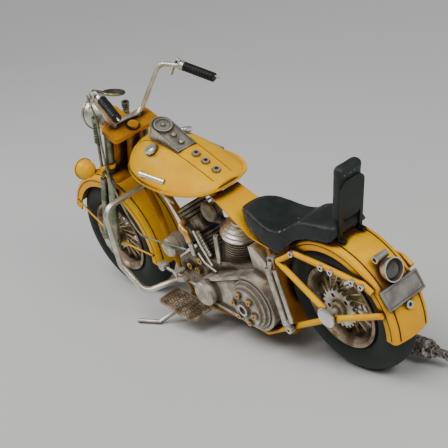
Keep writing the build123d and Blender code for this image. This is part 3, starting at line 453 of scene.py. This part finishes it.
def plump(piece, voxel, cap):
    """Evens out and rounds a pad. Cloth under pressure shifts each point too, by up to cap mm,
    which varies the skin and doesn't set the shape."""
    remesh = piece.modifiers.new("even", "REMESH")
    remesh.mode = "VOXEL"
    remesh.voxel_size = voxel * MM
    apply_modifiers(piece)
    centre = sum((vertex.co for vertex in piece.data.vertices), Vector()) / len(piece.data.vertices)
    before = [vertex.co.copy() for vertex in piece.data.vertices]
    work = put_in_scene(piece.name + "_work", piece.data.copy())
    work.data.transform(Matrix.Scale(CLOTH_SCALE, 4) @ Matrix.Translation(-centre))
    cloth = work.modifiers.new("filling", "CLOTH")
    cloth.settings.use_pressure = True
    cloth.settings.uniform_pressure_force = CLOTH_PRESSURE
    cloth.settings.effector_weights.gravity = 0.0
    cloth.settings.quality = 6
    cloth.point_cache.frame_end = CLOTH_FRAMES
    for step in range(1, CLOTH_FRAMES + 1):
        bpy.context.scene.frame_set(step)
    swollen = work.evaluated_get(bpy.context.evaluated_depsgraph_get())
    for index, vertex in enumerate(piece.data.vertices):
        move = swollen.data.vertices[index].co / CLOTH_SCALE + centre - before[index]
        if move.length > cap * MM:
            move = move.normalized() * cap * MM
        vertex.co = before[index] + move
    bpy.data.objects.remove(work)
    bpy.context.scene.frame_set(1)
    relax = piece.modifiers.new("relax", "SMOOTH")
    relax.factor = 0.5
    relax.iterations = 12
    rounding = piece.modifiers.new("rounding", "SUBSURF")
    rounding.levels = 1
    apply_modifiers(piece)
    smooth(piece, PAD_CREASE)


# Stations from the saddle's nose to its tail, in mm: place, crown height, half width and
# height of the top edge, then half width and height of the skirt's lower edge.
SADDLE = [
    (61.2, 77.6, 3.4, 77.4, 3.8, 76.4),
    (59.6, 78.8, 5.6, 78.2, 6.4, 74.8),
    (56.0, 79.8, 7.8, 79.0, 9.2, 71.4),
    (50.0, 79.2, 10.0, 78.8, 11.6, 68.6),
    (43.0, 76.8, 11.6, 76.8, 13.8, 67.2),
    (36.0, 74.2, 12.8, 74.6, 15.6, 66.2),
    (30.0, 73.2, 13.4, 73.9, 16.6, 64.2),
    (26.0, 73.2, 13.4, 74.1, 16.7, 63.2),
    (22.0, 74.4, 13.0, 75.2, 16.0, 65.2),
    (17.0, 77.2, 11.8, 77.8, 14.4, 69.6),
    (12.0, 80.8, 10.8, 80.4, 13.2, 72.4),
    (4.0, 82.6, 10.8, 81.2, 12.8, 73.4),
    (-5.0, 82.8, 10.8, 81.4, 12.8, 73.8),
    (-10.5, 82.6, 10.4, 81.4, 12.4, 74.4),
    (-13.2, 81.8, 9.2, 80.8, 10.8, 76.0),
]


FENDER_CROWN = 39.2     # mm from the rear axle to the outside of the fender
FENDER_ENDS = 21        # mm ahead of the rear axle, where the bent sheet takes over
SHEET_RISES = 38        # mm ahead of the rear axle, where the sheet starts to climb


def under_saddle(x):
    """The height of what the saddle sits on: the fender's crown, or the bent sheet before it."""
    if x < FENDER_ENDS:
        return WHEEL_RADIUS + sqrt(FENDER_CROWN ** 2 - x ** 2)
    if x < SHEET_RISES:
        return 66.4 - (x - FENDER_ENDS) * 0.10
    return 64.2 + (x - SHEET_RISES) * 0.55


PAD_CAP = 0.35          # mm that the cloth run may shift a point


def saddle():
    """The saddle: a dished seat whose skirt comes down over the fender and the sheet."""
    rings = []
    for x, crown, edge_half, edge_z, low_half, low_z in SADDLE:
        floor_z = max(min(under_saddle(x), crown - 2.0), low_z + 0.8)
        side = [
            (edge_half * 0.55, crown - (crown - edge_z) * 0.25),
            (edge_half * 0.90, edge_z + 0.25),
            (edge_half, edge_z),
            (edge_half + 0.35, edge_z - 0.9),
            (edge_half * 0.45 + low_half * 0.55 - 0.5, edge_z * 0.5 + low_z * 0.5),
            (low_half, low_z + 0.9),
            (low_half - 0.3, low_z),
            (low_half - 1.2, low_z + 0.2),
            (low_half - 1.6, floor_z),
        ]
        loop = [(0, crown)] + side + [(0, floor_z)] + [(-y, z) for y, z in reversed(side)]
        rings.append([on_bike(x, y, z) for y, z in loop])
    vertices, faces = skin(rings)
    piece = add_piece("saddle", vertices, faces, LEATHER)
    rounding = piece.modifiers.new("rounding", "SUBSURF")
    rounding.levels = 2
    apply_modifiers(piece)
    plump(piece, 0.7, PAD_CAP)
    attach(piece, "root")
    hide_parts("seat_pad")


REST_FOOT = (-11.9, 74.2)     # mm ahead and up, where the backrest starts
REST_UP = (-0.37, 0.929)      # its slope, ahead and up


def on_rest(side, lift, forward):
    """A place on the backrest: to the left, up its slope, and forward of its back plate."""
    x = REST_FOOT[0] + REST_UP[0] * lift + REST_UP[1] * forward
    z = REST_FOOT[1] + REST_UP[1] * lift - REST_UP[0] * forward
    return on_bike(x, side, z)


def backrest_cushion():
    """The upright pad: a crowned front, a flat back and soft corners."""
    half, low, high, thick, corner = 7.2, 8.2, 38.4, 6.0, 2.2
    middle = (low + high) / 2
    rings = []
    for depth, shrink in ((1.3, 0.5), (2.2, 0.0), (4.6, 0.0), (thick, 0.6), (thick + 0.9, 2.2)):
        loop = []
        tall = (high - low) / 2 - shrink
        wide = half - shrink
        for corner_y, corner_z, start in ((1, 1, 0), (-1, 1, 90), (-1, -1, 180), (1, -1, 270)):
            for step in range(4):
                turn = radians(start + 30 * step)
                y = corner_y * (wide - corner) + corner * cos(turn)
                z = corner_z * (tall - corner) + corner * sin(turn)
                loop.append(on_rest(y, middle + z, depth))
        rings.append(loop)
    vertices, faces = skin(rings)
    piece = add_piece("backrest_cushion", vertices, faces, LEATHER)
    plump(piece, 0.55, PAD_CAP)
    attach(piece, "root")
    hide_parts("backrest_pad")


CABLE_RADIUS = 0.6
CABLE_ROUTE = [
    (137.4, 24.6, 139.0), (146.4, 19.6, 122.0), (155.4, 17.2, 104.0), (160.6, 16.4, 84.0),
    (154.6, 17.4, 66.0), (142.4, 19.8, 54.6), (126.0, 20.8, 53.8), (108.6, 14.6, 48.6),
]


def control_cable():
    """The bare cable, which bends where it passes from the fork to the engine."""
    line = through([on_bike(*place) for place in CABLE_ROUTE])
    piece = wire("bent_control_cable", line, CABLE_RADIUS, OLIVE)
    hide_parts("control_cable")
    on_bike(160.6, 16.4, 80)
    on_bike(130, 20.6, 54)
    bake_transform(piece)
    length = sum((after - before).length for before, after in zip(line, line[1:]))


def hand(side):
    return "left" if side > 0 else "right"


def paint_line(name, points, radius, body):
    """A thin dark line, made as a fine wire along a body's sheet metal."""
    piece = wire(name, points, radius, PINSTRIPE)
    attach(piece, body)


# Each fender in mm and degrees: its wheel's place, outer radius, half width, where it starts
# and where it ends, and the body it is on.
FENDERS = {
    "rear": (0.0, 38.3, 11.2, 54, 193, "root"),
    "front": (WHEELBASE, 41.2, 10.3, 27, 194, "steering"),
}
FENDER_LINE_RADIUS = 0.2
FENDER_LINE_STEPS = 30


def fender_lines():
    """The thin dark lines painted round both fenders."""
    for name, (centre, outer, half, low, high, body) in FENDERS.items():
        for side in (1, -1):
            for label, radius, y in (("skirt", outer - 3.6, half), ("crown", outer - 0.62, half - 3.0)):
                points = []
                for step in range(FENDER_LINE_STEPS + 1):
                    angle = low + (high - low) * step / FENDER_LINE_STEPS
                    points.append(round_wheel(centre, radius, angle, side * y))
                paint_line(name + "_" + label + "_line_" + hand(side), points, FENDER_LINE_RADIUS, body)


def drop_on(node, points):
    """Points moved down along the machine's own upright onto a part. Those that miss it are left out."""
    mesh = frame["nodes"][node].data
    corners = [tuple(vertex.co) for vertex in mesh.vertices]
    tree = BVHTree.FromPolygons(corners, [tuple(face.vertices) for face in mesh.polygons])
    above = UPRIGHT * (50 * MM)
    hits = [tree.ray_cast(point + above, -UPRIGHT)[0] for point in points]
    return [hit for hit in hits if hit is not None]


SEAM_PLACES = range(76, 141, 4)     # mm ahead of the rear axle
SEAM_RADIUS = 0.16


def tank_seams():
    """The seam on each side of the tank's centre strip, which widens a little towards the front."""
    for side in (1, -1):
        points = [on_bike(x, side * (6.4 - (98 - x) * 0.02), 100) for x in SEAM_PLACES]
        paint_line("tank_seam_" + hand(side), drop_on("tank_shell", points), SEAM_RADIUS, "root")


# ---------------------------------------------------------------- surroundings

VIEW_AZIMUTH = -124.9
VIEW_ELEVATION = 18.2
VIEW_ROLL = -8.9
VIEW_DISTANCE = 0.628
VIEW_CENTRE = AXLE + Vector((0.0889, 0.0038, 0.0228))
LENS = 97.8


def camera():
    """Looks at the machine from behind on its left, a little above it and rolled."""
    turn, lift = radians(VIEW_AZIMUTH), radians(VIEW_ELEVATION)
    away = Vector((sin(turn) * cos(lift), -cos(turn) * cos(lift), sin(lift)))
    data = bpy.data.cameras.new("camera")
    data.lens = LENS
    data.clip_start = 0.01
    eye = put_in_scene("camera", data)
    eye.location = VIEW_CENTRE + away * VIEW_DISTANCE
    facing = away.to_track_quat("Z", "Y").to_matrix() @ Matrix.Rotation(radians(VIEW_ROLL), 3, "Z")
    eye.rotation_euler = facing.to_euler()
    bpy.context.scene.camera = eye


LIGHTS_AIM = Vector((0, 0, 0.05))


def hang_light(name, kind, power, away):
    """A light that shines from the direction away, towards the machine."""
    data = bpy.data.lights.new(name, kind)
    data.energy = power
    lamp = put_in_scene(name, data)
    lamp.rotation_euler = away.to_track_quat("Z", "Y").to_euler()
    return lamp


def soft_light(name, place, size, power):
    lamp = hang_light(name, "AREA", power, Vector(place) - LIGHTS_AIM)
    lamp.location = place
    lamp.data.shape = "DISK"
    lamp.data.size = size


def surroundings():
    """A plain pale floor and plain soft light."""
    pale = Finish("pale_floor")
    dust = pale.cloud(300, 2.0)
    colour = pale.blend(dust, (0.60, 0.60, 0.585), (0.63, 0.63, 0.615))
    material = pale.show(colour, 0.85 + dust * 0.05)
    reach = 30.0        # metres each way
    corners = [(-reach, -reach, 0), (reach, -reach, 0), (reach, reach, 0), (-reach, reach, 0)]
    ground = add_piece("ground", corners, [(0, 1, 2, 3)], material)
    world = bpy.data.worlds.new("soft_room")
    world.use_nodes = True
    backdrop = world.node_tree.nodes["Background"]
    backdrop.inputs["Color"].default_value = (0.86, 0.89, 0.92, 1)
    backdrop.inputs["Strength"].default_value = 0.22
    bpy.context.scene.world = world
    key = hang_light("broad_key", "SUN", 1.75, Vector((-0.35, 0.75, 1.35)))
    key.data.angle = radians(35)
    soft_light("side_softbox", (-0.75, 0.1, 0.55), 0.35, 3.0)
    soft_light("rim_softbox", (0.5, 0.35, 0.6), 0.3, 2.5)


camera()
surroundings()
dress_frame()
saddle()
backrest_cushion()
control_cable()
fender_lines()
tank_seams()
